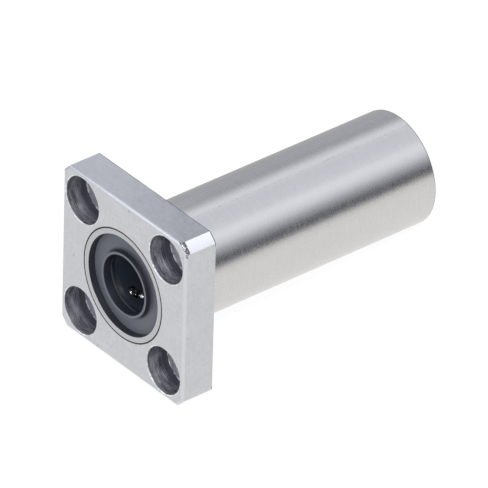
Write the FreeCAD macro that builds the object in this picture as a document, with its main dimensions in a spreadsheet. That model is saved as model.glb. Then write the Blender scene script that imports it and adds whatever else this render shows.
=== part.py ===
import FreeCAD
import Part
import Sketcher
import itertools
import math
import os

# Linear ball bearing with a square flange, long form, for a 10 mm shaft.
#
# Millimetres. The origin is the middle of the flange's seat face, the face that lies against the
# machine. +Y runs along the shaft axis to the free end, and +Z is up, square to two of the
# flange's sides.
#
# A hardened outer cylinder is pressed into the flange, flush with its front. Inside it stand two
# moulded retainers, end to end. Each guides four closed circuits of balls: a load row that rolls
# between the shaft and the cylinder's race, two turns, and a return row that lies further out, in
# a groove of the cylinder. A split side ring in a groove stops each retainer, and a rubber seal
# closes each end.

# Driving sizes: lengths in millimetres, one angle in degrees and one count.
SIZES = {
    # Overall sizes.
    "shaft_diameter": 10.0,  # shaft that the bearing runs on
    "bearing_length": 55.0,  # length over both end faces
    "race_wall": 2.51,  # cylinder wall at the race
    "end_wall": 1.0,  # cylinder wall at the seal seats
    # Flange.
    "flange_thickness": 6.0,  # thickness, front face to seat face
    "screw_hole": 4.5,  # screw hole diameter
    "head_step": 1.75,  # radial step between a screw hole and its counterbore
    "head_floor": 1.9,  # metal under a counterbore
    "head_web": 1.0,  # metal between a counterbore and the cylinder
    "side_margin": 0.747,  # metal between a counterbore and the nearest side
    "corner_margin": 1.7,  # metal between a counterbore and its trimmed corner
    "front_bevel": 0.4,  # bevel round the front face
    "seat_bevel": 0.2,  # bevel round the seat face
    "rim_bevel": 0.12,  # bevel at the mouth of each counterbore
    "press_play": 0.005,  # radial space between flange and cylinder
    # Balls and their circuits.
    "ball_diameter": 1.984,  # ball diameter
    "ball_play": 0.006,  # radial space between a loaded ball and the race
    "ball_gap": 0.02,  # space between neighbouring balls
    "row_web": 1.016,  # space between the balls of the load row and the return row
    "channel_play": 0.04,  # space round a ball in its channel
    "relief_play": 0.06,  # space over the turning balls
    "circuit_count": 4,  # circuits in each retainer
    "circuit_turn": 200.0,  # turn of the first load row about +Y, from +Z, in degrees
    # Retainers.
    "shaft_gap": 0.35,  # radial space between shaft and retainer
    "retainer_wall": 0.5,  # wall past the end of each channel
    "retainer_play": 0.06,  # radial space between retainer and race
    "collar_play": 0.1,  # radial space round a retainer's collar
    "middle_gap": 0.3,  # space between the two retainers
    # Ends: seals and side rings.
    "seal_recess": 1.2,  # end face to the seal's flat face
    "seal_thickness": 1.0,  # thickness of the seal's disc
    "lip_inset": 0.2,  # end face to the top of the raised lip ring
    "lip_width": 0.5,  # radial width of the lip ring
    "lip_length": 1.4,  # length of the lip's bore
    "seal_relief": 0.35,  # how far the seal's bore opens behind the lip
    "ring_thickness": 0.7,  # side ring thickness
    "ring_play": 0.05,  # axial space beside a side ring
    "ring_groove_depth": 0.3,  # depth of a side ring's groove below the seat
    "ring_width": 2.2,  # radial width of a side ring
    "ring_split": 3.0,  # opening in a side ring
    "mouth_bevel": 0.15,  # bevel at the mouth of each seal seat
    "joint_bevel": 0.12,  # bevel at the joint of cylinder and flange
    "free_end_bevel": 0.25,  # bevel round the cylinder's free end
}

# Numbers that aren't sizes.
CLOSE = 1e-5  # largest difference, in millimetres, between an edge and the place it is looked for
HALVINGS = 40  # steps that place a ball on its track

doc = FreeCAD.newDocument("square_flange_linear_bearing")
sheet = doc.addObject("Spreadsheet::Sheet", "sizes")
for row, (alias, number) in enumerate(SIZES.items(), 1):
    sheet.set(f"A{row}", alias.replace("_", " "))
    sheet.set(f"B{row}", str(number))
    sheet.setAlias(f"B{row}", alias)
doc.recompute()

# Derived sizes, as expressions on the sheet. Radii are measured from the shaft axis.
SHAFT_R = "(sizes.shaft_diameter / 2)"
BALL_R = "(sizes.ball_diameter / 2)"
LOAD_R = f"({SHAFT_R} + {BALL_R})"
RACE_R = f"({SHAFT_R} + sizes.ball_diameter + sizes.ball_play)"
CYLINDER_R = f"({RACE_R} + sizes.race_wall)"
CHANNEL_R = f"({BALL_R} + sizes.channel_play)"
FLOOR_HALF = f"({CHANNEL_R} * (sqrt(2) - 1))"
ROW_SPACING = "(sizes.ball_diameter + sizes.row_web)"
TURN_R = f"({ROW_SPACING} / 2)"
RETURN_R = f"sqrt({LOAD_R} ^ 2 + {ROW_SPACING} ^ 2)"
RELIEF_R = f"({RETURN_R} + {CHANNEL_R} + sizes.relief_play)"
SEAT_R = f"({CYLINDER_R} - sizes.end_wall)"
GROOVE_R = f"({SEAT_R} + sizes.ring_groove_depth)"
HEAD_R = "(sizes.screw_hole / 2 + sizes.head_step)"
BOLT_R = f"({CYLINDER_R} + sizes.head_web + {HEAD_R})"
CORNER_R = f"({BOLT_R} + {HEAD_R} + sizes.corner_margin)"

# Across the flange, from the shaft axis.
HOLE_PLACE = f"({BOLT_R} * sqrt(0.5))"
HALF_WIDTH = f"({HOLE_PLACE} + {HEAD_R} + sizes.side_margin)"

# Places along the axis.
FRONT = "(-sizes.flange_thickness)"
REAR = "(sizes.bearing_length - sizes.flange_thickness)"
SEAL_BACK = "(sizes.seal_recess + sizes.seal_thickness)"
GROOVE_END = f"({SEAL_BACK} + sizes.ring_thickness + 2 * sizes.ring_play)"
RETAINER_LENGTH = f"(sizes.bearing_length / 2 - {GROOVE_END} - sizes.middle_gap / 2)"
ROW_START = f"(sizes.retainer_wall + {CHANNEL_R} + {TURN_R})"
ROW_LENGTH = f"({RETAINER_LENGTH} - 2 * {ROW_START})"


def value(expression):
    """Number that an expression on the sheet has now."""
    return float(sheet.evalExpression(expression))


def new_body(label):
    body = doc.addObject("PartDesign::Body", label)
    body.Label = label
    return body


def origin_feature(body, role):
    """The body's own origin plane or axis with this role."""
    return next(item for item in body.Origin.OriginFeatures if item.Role == role)


def new_sketch(body, name, plane, lift=None):
    """Sketch on one of the body's origin planes, lifted along the plane's normal."""
    sketch = body.newObject("Sketcher::SketchObject", name)
    sketch.AttachmentSupport = (origin_feature(body, plane), "")
    sketch.MapMode = "FlatFace"
    if lift is not None:
        sketch.setExpression("AttachmentOffset.Base.z", lift)
    return sketch


def bind(sketch, kind, geometry, expression):
    """Add a constraint of this kind and tie its size to the sheet."""
    index = sketch.addConstraint(Sketcher.Constraint(kind, *geometry, value(expression)))
    sketch.setExpression(f"Constraints[{index}]", expression)


def pin_point(sketch, geometry, point, across, up):
    """Tie a point of the sketch to two expressions, measured from the sketch's origin."""
    bind(sketch, "DistanceX", (-1, 1, geometry, point), across)
    bind(sketch, "DistanceY", (-1, 1, geometry, point), up)


def polygon(sketch, corners):
    """Closed outline with straight sides through corners, each a pair of expressions."""
    points = [FreeCAD.Vector(value(across), value(up), 0) for across, up in corners]
    sides = len(points)
    for side in range(sides):
        sketch.addGeometry(Part.LineSegment(points[side], points[(side + 1) % sides]), False)
    for side in range(sides):
        following = (side + 1) % sides
        sketch.addConstraint(Sketcher.Constraint("Coincident", side, 2, following, 1))
    for side, (across, up) in enumerate(corners):
        pin_point(sketch, side, 1, across, up)


def circle(sketch, across, up, radius):
    """Circle with its middle and radius tied to expressions."""
    middle = FreeCAD.Vector(value(across), value(up), 0)
    index = sketch.addGeometry(Part.Circle(middle, FreeCAD.Vector(0, 0, 1), value(radius)), False)
    bind(sketch, "Radius", (index,), radius)
    pin_point(sketch, index, 3, across, up)


def revolve(body, name, corners):
    """Turn an outline of radius and height pairs a full turn about the body's Y axis."""
    sketch = new_sketch(body, name + "_outline", "XY_Plane")
    polygon(sketch, corners)
    turned = body.newObject("PartDesign::Revolution", name)
    turned.Profile = sketch
    turned.ReferenceAxis = (sketch, ["V_Axis"])
    turned.Angle = 360
    doc.recompute()
    return turned


def pocket(body, name, sketch, depth=None, away=False):
    """Cut a sketch into the body, to a depth or right through. away cuts along its normal."""
    cut = body.newObject("PartDesign::Pocket", name)
    cut.Profile = sketch
    cut.Reversed = away
    if depth is None:
        cut.Type = "ThroughAll"
    else:
        cut.Type = "Length"
        cut.setExpression("Length", depth)
    doc.recompute()
    return cut


def round_the_axis(body, name, features, count):
    """Repeat features evenly about the body's Y axis."""
    pattern = body.newObject("PartDesign::PolarPattern", name)
    pattern.Originals = features
    pattern.Axis = (origin_feature(body, "Y_Axis"), [""])
    pattern.Angle = 360
    pattern.setExpression("Occurrences", count)
    body.Tip = pattern
    doc.recompute()
    return pattern


def bevel(body, name, base, wanted, width):
    """Bevel the edges of a feature for which wanted(edge) is true."""
    names = [f"Edge{number}" for number, edge in enumerate(base.Shape.Edges, 1) if wanted(edge)]
    cut = body.newObject("PartDesign::Chamfer", name)
    cut.Base = (base, names)
    cut.setExpression("Size", width)
    body.Tip = cut
    doc.recompute()
    return cut


def lies_at(edge, height):
    """Whether an edge lies wholly in the plane across the axis at this height."""
    return abs(edge.BoundBox.YMin - height) < CLOSE and abs(edge.BoundBox.YMax - height) < CLOSE


def is_full_circle(edge, radius):
    return edge.Closed and hasattr(edge.Curve, "Radius") and abs(edge.Curve.Radius - radius) < CLOSE


def make_flange():
    """Square plate with trimmed corners, a bore for the cylinder and four counterbored holes."""
    body = new_body("flange")
    outline = new_sketch(body, "outline", "XZ_Plane")
    half = value(HALF_WIDTH)
    trim = value(CORNER_R)
    reach = math.sqrt(trim ** 2 - half ** 2)
    spread = math.atan2(reach, half)
    quarter = math.pi / 2
    for side in range(4):
        turn = FreeCAD.Rotation(FreeCAD.Vector(0, 0, 1), 90 * side)
        start = turn.multVec(FreeCAD.Vector(half, -reach, 0))
        end = turn.multVec(FreeCAD.Vector(half, reach, 0))
        outline.addGeometry(Part.LineSegment(start, end), False)
        full = Part.Circle(FreeCAD.Vector(), FreeCAD.Vector(0, 0, 1), trim)
        arc = Part.ArcOfCircle(full, quarter * side + spread, quarter * (side + 1) - spread)
        outline.addGeometry(arc, False)
    for side in range(4):
        line = 2 * side
        corner = line + 1
        following = (line + 2) % 8
        outline.addConstraint(Sketcher.Constraint("Coincident", line, 2, corner, 1))
        outline.addConstraint(Sketcher.Constraint("Coincident", corner, 2, following, 1))
        outline.addConstraint(Sketcher.Constraint("Coincident", corner, 3, -1, 1))
        outline.addConstraint(Sketcher.Constraint("Horizontal" if side % 2 else "Vertical", line))
    for side, kind in enumerate(("DistanceX", "DistanceY")):
        bind(outline, kind, (-1, 1, 2 * side, 1), HALF_WIDTH)
        bind(outline, kind, (2 * side + 4, 1, -1, 1), HALF_WIDTH)
    bind(outline, "Radius", (1,), CORNER_R)
    plate = body.newObject("PartDesign::Pad", "plate")
    plate.Profile = outline
    plate.setExpression("Length", "sizes.flange_thickness")
    doc.recompute()

    bore_outline = new_sketch(body, "bore_outline", "XZ_Plane", "sizes.flange_thickness")
    circle(bore_outline, "0", "0", f"{CYLINDER_R} + sizes.press_play")
    pocket(body, "bore", bore_outline)

    hole_outline = new_sketch(body, "screw_outline", "XZ_Plane", "sizes.flange_thickness")
    circle(hole_outline, HOLE_PLACE, HOLE_PLACE, "sizes.screw_hole / 2")
    hole = pocket(body, "screw_hole", hole_outline)
    head_outline = new_sketch(body, "counterbore_outline", "XZ_Plane", "sizes.flange_thickness")
    circle(head_outline, HOLE_PLACE, HOLE_PLACE, HEAD_R)
    head = pocket(body, "counterbore", head_outline, "sizes.flange_thickness - sizes.head_floor")
    holes = round_the_axis(body, "screw_holes", [hole, head], "4")

    front = value(FRONT)
    rim = value(HEAD_R)
    bore_r = value(f"{CYLINDER_R} + sizes.press_play")

    def outer(edge):
        return not edge.Closed

    def front_edge(edge):
        return lies_at(edge, front) and outer(edge)

    def seat_edge(edge):
        return lies_at(edge, 0) and outer(edge)

    def rim_edge(edge):
        return lies_at(edge, front) and is_full_circle(edge, rim)

    def joint_edge(edge):
        return lies_at(edge, front) and is_full_circle(edge, bore_r)

    done = bevel(body, "front_bevels", holes, front_edge, "sizes.front_bevel")
    done = bevel(body, "seat_bevels", done, seat_edge, "sizes.seat_bevel")
    done = bevel(body, "rim_bevels", done, rim_edge, "sizes.rim_bevel")
    bevel(body, "joint_bevel", done, joint_edge, "sizes.joint_bevel")
    return body


def make_cylinder():
    """Hardened outer cylinder: lands that the balls load, relieved for turns and return rows."""
    body = new_body("outer_cylinder")
    row_near = f"({GROOVE_END} + {ROW_START})"
    row_far = f"({row_near} + {ROW_LENGTH})"
    # The inside from one end face to the middle, as pairs of radius and depth.
    inside = [
        (f"{SEAT_R} + sizes.mouth_bevel", "0"),
        (SEAT_R, "sizes.mouth_bevel"),
        (SEAT_R, SEAL_BACK),
        (GROOVE_R, SEAL_BACK),
        (GROOVE_R, GROOVE_END),
        (RELIEF_R, GROOVE_END),
        (RELIEF_R, row_near),
        (RACE_R, row_near),
        (RACE_R, row_far),
        (RELIEF_R, row_far),
    ]
    corners = [
        (f"{CYLINDER_R} - sizes.joint_bevel", FRONT),
        (CYLINDER_R, f"{FRONT} + sizes.joint_bevel"),
        (CYLINDER_R, f"{REAR} - sizes.free_end_bevel"),
        (f"{CYLINDER_R} - sizes.free_end_bevel", REAR),
    ]
    corners += [(radius, f"{REAR} - {depth}") for radius, depth in inside]
    corners += [(radius, f"{FRONT} + {depth}") for radius, depth in reversed(inside)]
    revolve(body, "tube", corners)

    # Return grooves, one half of the length each: the rear retainer is turned end for end, so
    # its return rows lie on the other side of the load rows. XZ_Plane faces -Y.
    grooves = []
    groove_length = f"{ROW_LENGTH} + 2 * sizes.relief_play"
    halves = (
        ("front", ROW_SPACING, f"-({FRONT} + {row_near} - sizes.relief_play)"),
        ("rear", f"-{ROW_SPACING}", f"-({REAR} - {row_far} - sizes.relief_play)"),
    )
    for end, across, lift in halves:
        outline = new_sketch(body, f"{end}_groove_outline", "XZ_Plane", lift)
        circle(outline, across, LOAD_R, CHANNEL_R)
        grooves.append(pocket(body, f"{end}_groove", outline, groove_length))
    round_the_axis(body, "return_grooves", grooves, "sizes.circuit_count")
    body.Placement.Rotation = FreeCAD.Rotation(FreeCAD.Vector(0, 1, 0), value("sizes.circuit_turn"))
    body.setExpression("Placement.Rotation.Angle", "sizes.circuit_turn")
    return body


def stadium(sketch, half_width):
    """Closed track round the middle of a circuit: two straights and two half circles."""
    low = value(ROW_START)
    high = value(f"{ROW_START} + {ROW_LENGTH}")
    middle = value(TURN_R)
    radius = value(half_width)
    normal = FreeCAD.Vector(0, 0, 1)
    top_circle = Part.Circle(FreeCAD.Vector(middle, high, 0), normal, radius)
    low_circle = Part.Circle(FreeCAD.Vector(middle, low, 0), normal, radius)
    right = Part.LineSegment(
        FreeCAD.Vector(middle + radius, low, 0), FreeCAD.Vector(middle + radius, high, 0)
    )
    left = Part.LineSegment(
        FreeCAD.Vector(middle - radius, high, 0), FreeCAD.Vector(middle - radius, low, 0)
    )
    first = sketch.addGeometry(right, False)
    sketch.addGeometry(Part.ArcOfCircle(top_circle, 0, math.pi), False)
    sketch.addGeometry(left, False)
    sketch.addGeometry(Part.ArcOfCircle(low_circle, math.pi, 2 * math.pi), False)
    for step in range(4):
        this = first + step
        following = first + (step + 1) % 4
        sketch.addConstraint(Sketcher.Constraint("Tangent", this, 2, following, 1))
    sketch.addConstraint(Sketcher.Constraint("Vertical", first))
    bind(sketch, "Radius", (first + 1,), half_width)
    pin_point(sketch, first + 1, 3, TURN_R, f"{ROW_START} + {ROW_LENGTH}")
    bind(sketch, "DistanceY", (-1, 1, first + 3, 3), ROW_START)


def ring_track(body, name, lift, half_width):
    """Sketch of a closed channel seen from above: the space between two stadiums."""
    sketch = new_sketch(body, name, "XY_Plane", lift)
    stadium(sketch, f"{TURN_R} + {half_width}")
    stadium(sketch, f"{TURN_R} - {half_width}")
    return sketch


def make_retainer(label):
    """Moulded ball retainer: a tube with a collar and four closed channels.

    Its outer end lies in the plane y = 0 and the first load row is over +Z. A circuit is flat: it
    lies square to the load row's own radius, which takes the return row further from the axis.
    The load row's channel breaks through into the bore by less than a ball's diameter.
    """
    body = new_body(label)
    collar_r = f"({RELIEF_R} - sizes.collar_play)"
    collar_end = f"({ROW_START} - sizes.collar_play)"
    tube_r = f"({RACE_R} - sizes.retainer_play)"
    bore_r = f"({SHAFT_R} + sizes.shaft_gap)"
    corners = [
        (bore_r, "0"),
        (collar_r, "0"),
        (collar_r, collar_end),
        (tube_r, collar_end),
        (tube_r, RETAINER_LENGTH),
        (bore_r, RETAINER_LENGTH),
    ]
    revolve(body, "tube", corners)

    # The channel's section is half an octagon round a ball: sides, two slopes and a floor.
    slope_top = f"({LOAD_R} - {FLOOR_HALF})"
    mouth_outline = ring_track(body, "mouth_outline", slope_top, CHANNEL_R)
    mouth = pocket(body, "channel_mouth", mouth_outline, away=True)
    top = ring_track(body, "slope_top", slope_top, CHANNEL_R)
    low = ring_track(body, "slope_foot", f"({LOAD_R} - {CHANNEL_R})", FLOOR_HALF)
    floor = body.newObject("PartDesign::SubtractiveLoft", "channel_floor")
    floor.Profile = top
    floor.Sections = [low]
    floor.Ruled = True
    doc.recompute()
    round_the_axis(body, "channels", [mouth, floor], "sizes.circuit_count")
    return body


def make_seal(label):
    """Rubber seal: a disc that fills the seat, with a raised lip ring round the shaft."""
    body = new_body(label)
    lip_r = f"({SHAFT_R} + sizes.lip_width)"
    flat = "sizes.seal_recess"
    corners = [
        (SHAFT_R, "sizes.lip_inset"),
        (f"{lip_r} - sizes.mouth_bevel", "sizes.lip_inset"),
        (lip_r, "sizes.lip_inset + sizes.mouth_bevel"),
        (lip_r, flat),
        (SEAT_R, flat),
        (SEAT_R, SEAL_BACK),
        (f"{SHAFT_R} + sizes.seal_relief", SEAL_BACK),
        (SHAFT_R, "sizes.lip_inset + sizes.lip_length"),
    ]
    revolve(body, "rubber", corners)
    return body


def make_side_ring(label):
    """Flat split spring ring that stops the retainer."""
    body = new_body(label)
    ring_r = f"({GROOVE_R} - sizes.ring_play)"
    outline = new_sketch(body, "ring_outline", "XZ_Plane")
    circle(outline, "0", "0", ring_r)
    circle(outline, "0", "0", f"{ring_r} - sizes.ring_width")
    ring = body.newObject("PartDesign::Pad", "ring")
    ring.Profile = outline
    ring.Reversed = True
    ring.setExpression("Length", "sizes.ring_thickness")
    doc.recompute()
    split_outline = new_sketch(body, "split_outline", "XZ_Plane")
    half_split = "sizes.ring_split / 2"
    past_ring = f"{ring_r} + sizes.ring_thickness"
    polygon(split_outline, [
        (f"-({half_split})", "0"),
        (half_split, "0"),
        (half_split, past_ring),
        (f"-({half_split})", past_ring),
    ])
    pocket(body, "split", split_outline)
    return body


def track_point(along):
    """Point of a circuit's middle line, by distance from the apex of its outer turn."""
    turn_r = value(TURN_R)
    low = value(ROW_START)
    row = value(ROW_LENGTH)
    half_turn = math.pi * turn_r
    quarter = half_turn / 2
    if along <= quarter:
        angle = along / turn_r
        return FreeCAD.Vector(turn_r - turn_r * math.sin(angle), low - turn_r * math.cos(angle), 0)
    if along <= quarter + row:
        return FreeCAD.Vector(0, low + along - quarter, 0)
    if along <= quarter + row + half_turn:
        angle = (along - quarter - row) / turn_r
        return FreeCAD.Vector(turn_r - turn_r * math.cos(angle), low + row + turn_r * math.sin(angle), 0)
    if along <= quarter + 2 * row + half_turn:
        return FreeCAD.Vector(2 * turn_r, low + row - (along - quarter - row - half_turn), 0)
    angle = (along - quarter - 2 * row - half_turn) / turn_r
    return FreeCAD.Vector(turn_r + turn_r * math.cos(angle), low - turn_r * math.sin(angle), 0)


def ball_centres():
    """Centres of one circuit's balls, apex first, each a ball and a gap from the last."""
    pitch = value("sizes.ball_diameter + sizes.ball_gap")
    total = 2 * math.pi * value(TURN_R) + 2 * value(ROW_LENGTH)
    centres = [track_point(0)]
    along = 0.0
    while True:
        near = along
        far = along + 2 * pitch
        for _ in range(HALVINGS):
            middle = (near + far) / 2
            if (track_point(middle) - centres[-1]).Length < pitch:
                near = middle
            else:
                far = middle
        along = far
        if along > total - pitch or (track_point(along) - centres[0]).Length < pitch:
            return centres
        centres.append(track_point(along))


def make_ball():
    """One ball, drawn with twenty equal flat faces whose corners all lie on the sphere.

    True spheres would outweigh the rest of the model many times over.
    """
    golden = (1 + math.sqrt(5)) / 2
    half_edge = value(BALL_R) / math.sqrt(1 + golden ** 2)
    corners = []
    for near in (-half_edge, half_edge):
        for far in (-half_edge * golden, half_edge * golden):
            corners.append(FreeCAD.Vector(0, near, far))
            corners.append(FreeCAD.Vector(near, far, 0))
            corners.append(FreeCAD.Vector(far, 0, near))
    faces = []
    for one, two, three in itertools.combinations(corners, 3):
        longest = max((one - two).Length, (two - three).Length, (three - one).Length)
        if longest > 2 * half_edge + CLOSE:
            continue
        if (two - one).cross(three - one).dot(one) < 0:
            two, three = three, two
        faces.append(Part.Face(Part.makePolygon([one, two, three, one])))
    return Part.makeSolid(Part.makeShell(faces))


def make_ball_rows(end, place):
    """Every circuit of one retainer, as a node of loaded and a node of returning balls."""
    ball = make_ball()
    height = FreeCAD.Vector(0, 0, value(LOAD_R))
    loaded = []
    returning = []
    for centre in ball_centres():
        row = loaded if centre.x < value(BALL_R) / 2 else returning
        row.append(ball.translated(centre + height))
    features = []
    for number in range(int(value("sizes.circuit_count"))):
        turn = 360.0 * number / value("sizes.circuit_count")
        step = FreeCAD.Placement(FreeCAD.Vector(), FreeCAD.Rotation(FreeCAD.Vector(0, 1, 0), turn))
        for kind, balls in (("load", loaded), ("return", returning)):
            label = f"{kind}_balls_{end}_{number + 1}"
            feature = doc.addObject("Part::Feature", label)
            feature.Label = label
            feature.Shape = Part.makeCompound(balls)
            feature.Placement = place.multiply(step)
            features.append(feature)
    return features


turn_to_row = FreeCAD.Rotation(FreeCAD.Vector(0, 1, 0), value("sizes.circuit_turn"))
end_for_end = FreeCAD.Rotation(FreeCAD.Vector(0, 0, 1), 180)
ENDS = {
    "front": (FRONT, "+", FreeCAD.Rotation()),
    "rear": (REAR, "-", end_for_end),
}

parts = [make_flange(), make_cylinder()]
for end, (face, inward, facing) in ENDS.items():
    seal = make_seal(f"seal_{end}")
    seal.Placement.Rotation = facing
    seal.setExpression("Placement.Base.y", face)
    ring = make_side_ring(f"side_ring_{end}")
    ring.Placement.Rotation = facing
    ring.setExpression("Placement.Base.y", f"{face} {inward} ({SEAL_BACK} + sizes.ring_play)")
    retainer = make_retainer(f"retainer_{end}")
    retainer.Placement.Rotation = turn_to_row.multiply(facing)
    retainer.setExpression("Placement.Base.y", f"{face} {inward} {GROOVE_END}")
    doc.recompute()
    parts += [seal, ring, retainer]
    parts += make_ball_rows(end, retainer.Placement)
doc.recompute()

for item in doc.Objects:
    failed = [state for state in item.State if state in ("Invalid", "Error")]
    if failed:
        raise RuntimeError(f"{item.Name} is {failed}")
for part in parts:
    if part.Shape.isNull() or not part.Shape.isValid() or not part.Shape.Solids:
        raise RuntimeError(f"{part.Label} has no valid solid")

os.makedirs("parts", exist_ok=True)
for part in parts:
    part.Shape.exportStep(os.path.join("parts", f"{part.Label}.step"))
    print(part.Label, len(part.Shape.Solids), round(part.Shape.Volume, 2))
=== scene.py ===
# %% [markdown]
# # A linear ball bearing with a square flange
#
# The bearing is a hardened steel tube, 19 mm across and 55 mm long, pressed into a square flange
# that screws on a machine. A 10 mm shaft slides through it on eight loops of small balls.
# Places are in the part's own frame: the origin is the middle of the flange's back face, +Y runs
# along the shaft to the free end and +Z is up. Sizes are written in millimetres, and MM turns
# them into the metres that the model is in.
#
# The construction model comes first. It fixes where each part is, and the pieces made below take
# its places and give it soft edges and real finishes.

# %% Load the construction model
import math

import bmesh
import bpy
from mathutils import Matrix, Vector


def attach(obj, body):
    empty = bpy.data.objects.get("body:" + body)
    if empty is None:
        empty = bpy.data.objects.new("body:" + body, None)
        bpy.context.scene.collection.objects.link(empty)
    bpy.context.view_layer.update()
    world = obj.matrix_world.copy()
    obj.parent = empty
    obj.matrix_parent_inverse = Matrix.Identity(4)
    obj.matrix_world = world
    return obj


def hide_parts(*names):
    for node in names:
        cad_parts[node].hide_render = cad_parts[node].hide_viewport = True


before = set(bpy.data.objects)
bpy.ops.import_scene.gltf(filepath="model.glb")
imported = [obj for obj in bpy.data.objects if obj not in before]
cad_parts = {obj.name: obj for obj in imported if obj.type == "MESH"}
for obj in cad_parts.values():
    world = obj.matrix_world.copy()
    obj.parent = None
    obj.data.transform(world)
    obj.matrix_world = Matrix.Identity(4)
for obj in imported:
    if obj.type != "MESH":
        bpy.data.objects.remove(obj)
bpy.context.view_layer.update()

MM = 0.001
NEAR = 2e-6  # places closer than this, in metres, count as one
WELD = 1e-6  # corners closer than this are joined
CREASE = 28  # edges that turn more than this many degrees stay crisp
ROUND_STEPS = 192  # straight steps in a large circle
print("parts in the construction model:", len(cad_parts))

# %% [markdown]
# ## The sizes
#
# The sizes are those of the standard bearing for a 10 mm shaft. They are written once, here, and
# each piece below is made from them.

# %% Sizes in millimetres
SHAFT_R = 5.0
CYLINDER_R = 9.5
SEAT_R = 8.5
RACE_R = 6.99  # the race that the loaded balls run on
RELIEF_R = 7.793  # the room where balls turn round
GROOVE_R = 8.8  # the side rings' grooves
LENGTH = 55.0
THICKNESS = 6.0
HALF_WIDTH = 15.0
CORNER_R = 20.2  # the circle that the flange's corners are turned to
HOLE_PLACE = 10.253  # a screw hole's distance from either middle line
SCREW_R = 2.25
HEAD_R = 4.0  # the counterbore for a screw's head
HEAD_FLOOR = 1.9  # from the seat face to a counterbore's floor
BALL_R = 0.992
LOAD_R = 5.992  # from the shaft axis to a loaded ball's centre
ROW_SPACING = 3.0  # from a loop's load row to its return row
CHANNEL_R = 1.032  # the channel round a row of balls
CIRCUIT_TURN = 200.0  # turn of the first load row from +Z, in degrees
CIRCUITS = 4  # at each end
PRESS_PLAY = 0.005  # between the cylinder and the flange's bore
BORE_R = CYLINDER_R + PRESS_PLAY

# Widths that the edges are rounded over.
FRONT_ROUND = 0.5
SEAT_ROUND = 0.2
RIM_ROUND = 0.18
SCREW_ROUND = 0.12
JOINT_ROUND = 0.1
REAR_ROUND = 0.25
MOUTH_ROUND = 0.1

# How far a straight step of a circle may miss the circle.
SLACK = 0.02

FRONT = -THICKNESS
REAR = LENGTH - THICKNESS
print("front face at", FRONT, "mm, free end at", REAR, "mm")

# %% [markdown]
# ## Helpers for making pieces
#
# A bmesh is Blender's working copy of a mesh: operators such as spin, extrude and bevel change it,
# and then it is written to an object. Each finished piece rides on the bearing's one body and
# stands for the part of the construction model whose name it is given.


# %% From a working mesh to a finished piece
def smooth_but_keep_edges(mesh):
    """Shade softly over curved surfaces, and keep real edges crisp."""
    mesh.shade_smooth()
    mesh.set_sharp_from_angle(angle=math.radians(CREASE))


def finished_piece(name, bm, stands_for, keep_flats=True):
    """Write a working mesh to an object that rides on the body in place of some parts.

    Soft shading bends a flat face's normals towards its rounded edges, and its reflections with
    them. Weighted normals let the largest face at each corner decide, so flats stay flat.
    """
    bmesh.ops.recalc_face_normals(bm, faces=bm.faces)
    mesh = bpy.data.meshes.new(name)
    bm.to_mesh(mesh)
    bm.free()
    smooth_but_keep_edges(mesh)
    piece = bpy.data.objects.new(name, mesh)
    bpy.context.scene.collection.objects.link(piece)
    if keep_flats:
        flats = piece.modifiers.new("true flats", "WEIGHTED_NORMAL")
        flats.keep_sharp = True
    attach(piece, "root")
    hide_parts(*stands_for)
    print(name, "has", len(mesh.polygons), "faces")
    return piece


def spun(corners):
    """Turn an outline of radius and place pairs, in millimetres, a full turn about the Y axis."""
    bm = bmesh.new()
    points = [bm.verts.new((radius * MM, place * MM, 0)) for radius, place in corners]
    for number, point in enumerate(points):
        bm.edges.new((point, points[(number + 1) % len(points)]))
    bmesh.ops.spin(
        bm,
        geom=bm.verts[:] + bm.edges[:],
        cent=(0, 0, 0),
        axis=(0, 1, 0),
        angle=math.tau,
        steps=ROUND_STEPS,
        use_merge=True,
    )
    bmesh.ops.recalc_face_normals(bm, faces=bm.faces)
    return bm


def is_ring(edge, radius, place):
    """Whether an edge lies on a circle about the shaft axis."""
    for vert in edge.verts:
        across = math.hypot(vert.co.x, vert.co.z)
        if abs(across - radius * MM) > NEAR or abs(vert.co.y - place * MM) > NEAR:
            return False
    return True


def round_off(bm, edges, width, segments=3):
    """Round some edges over to a width in millimetres."""
    bmesh.ops.bevel(
        bm,
        geom=edges,
        offset=width * MM,
        offset_type="OFFSET",
        affect="EDGES",
        segments=segments,
        profile=0.5,
        material=-1,
        clamp_overlap=True,
    )


def round_rings(bm, rings, segments=3):
    """Round over circles about the shaft axis, each given by radius, place and width."""
    for radius, place, width in rings:
        found = [edge for edge in bm.edges if is_ring(edge, radius, place)]
        round_off(bm, found, width, segments)


print("piece helpers ready")

# %% [markdown]
# Holes and grooves are cut with plain rods. A boolean takes the rods out of the working mesh, and
# its result is read back at once, so no modifier stays on the piece.


# %% Cutting with solid shapes
def rod(radius, low, high, across, up, segments=96):
    """Working mesh of a plain rod along Y, to cut with."""
    bm = bmesh.new()
    upright = Matrix.Rotation(math.radians(-90), 4, "X")
    place = Matrix.Translation(Vector((across, (low + high) / 2, up)) * MM)
    bmesh.ops.create_cone(
        bm,
        cap_ends=True,
        segments=segments,
        radius1=radius * MM,
        radius2=radius * MM,
        depth=(high - low) * MM,
        matrix=place @ upright,
    )
    return bm


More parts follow.
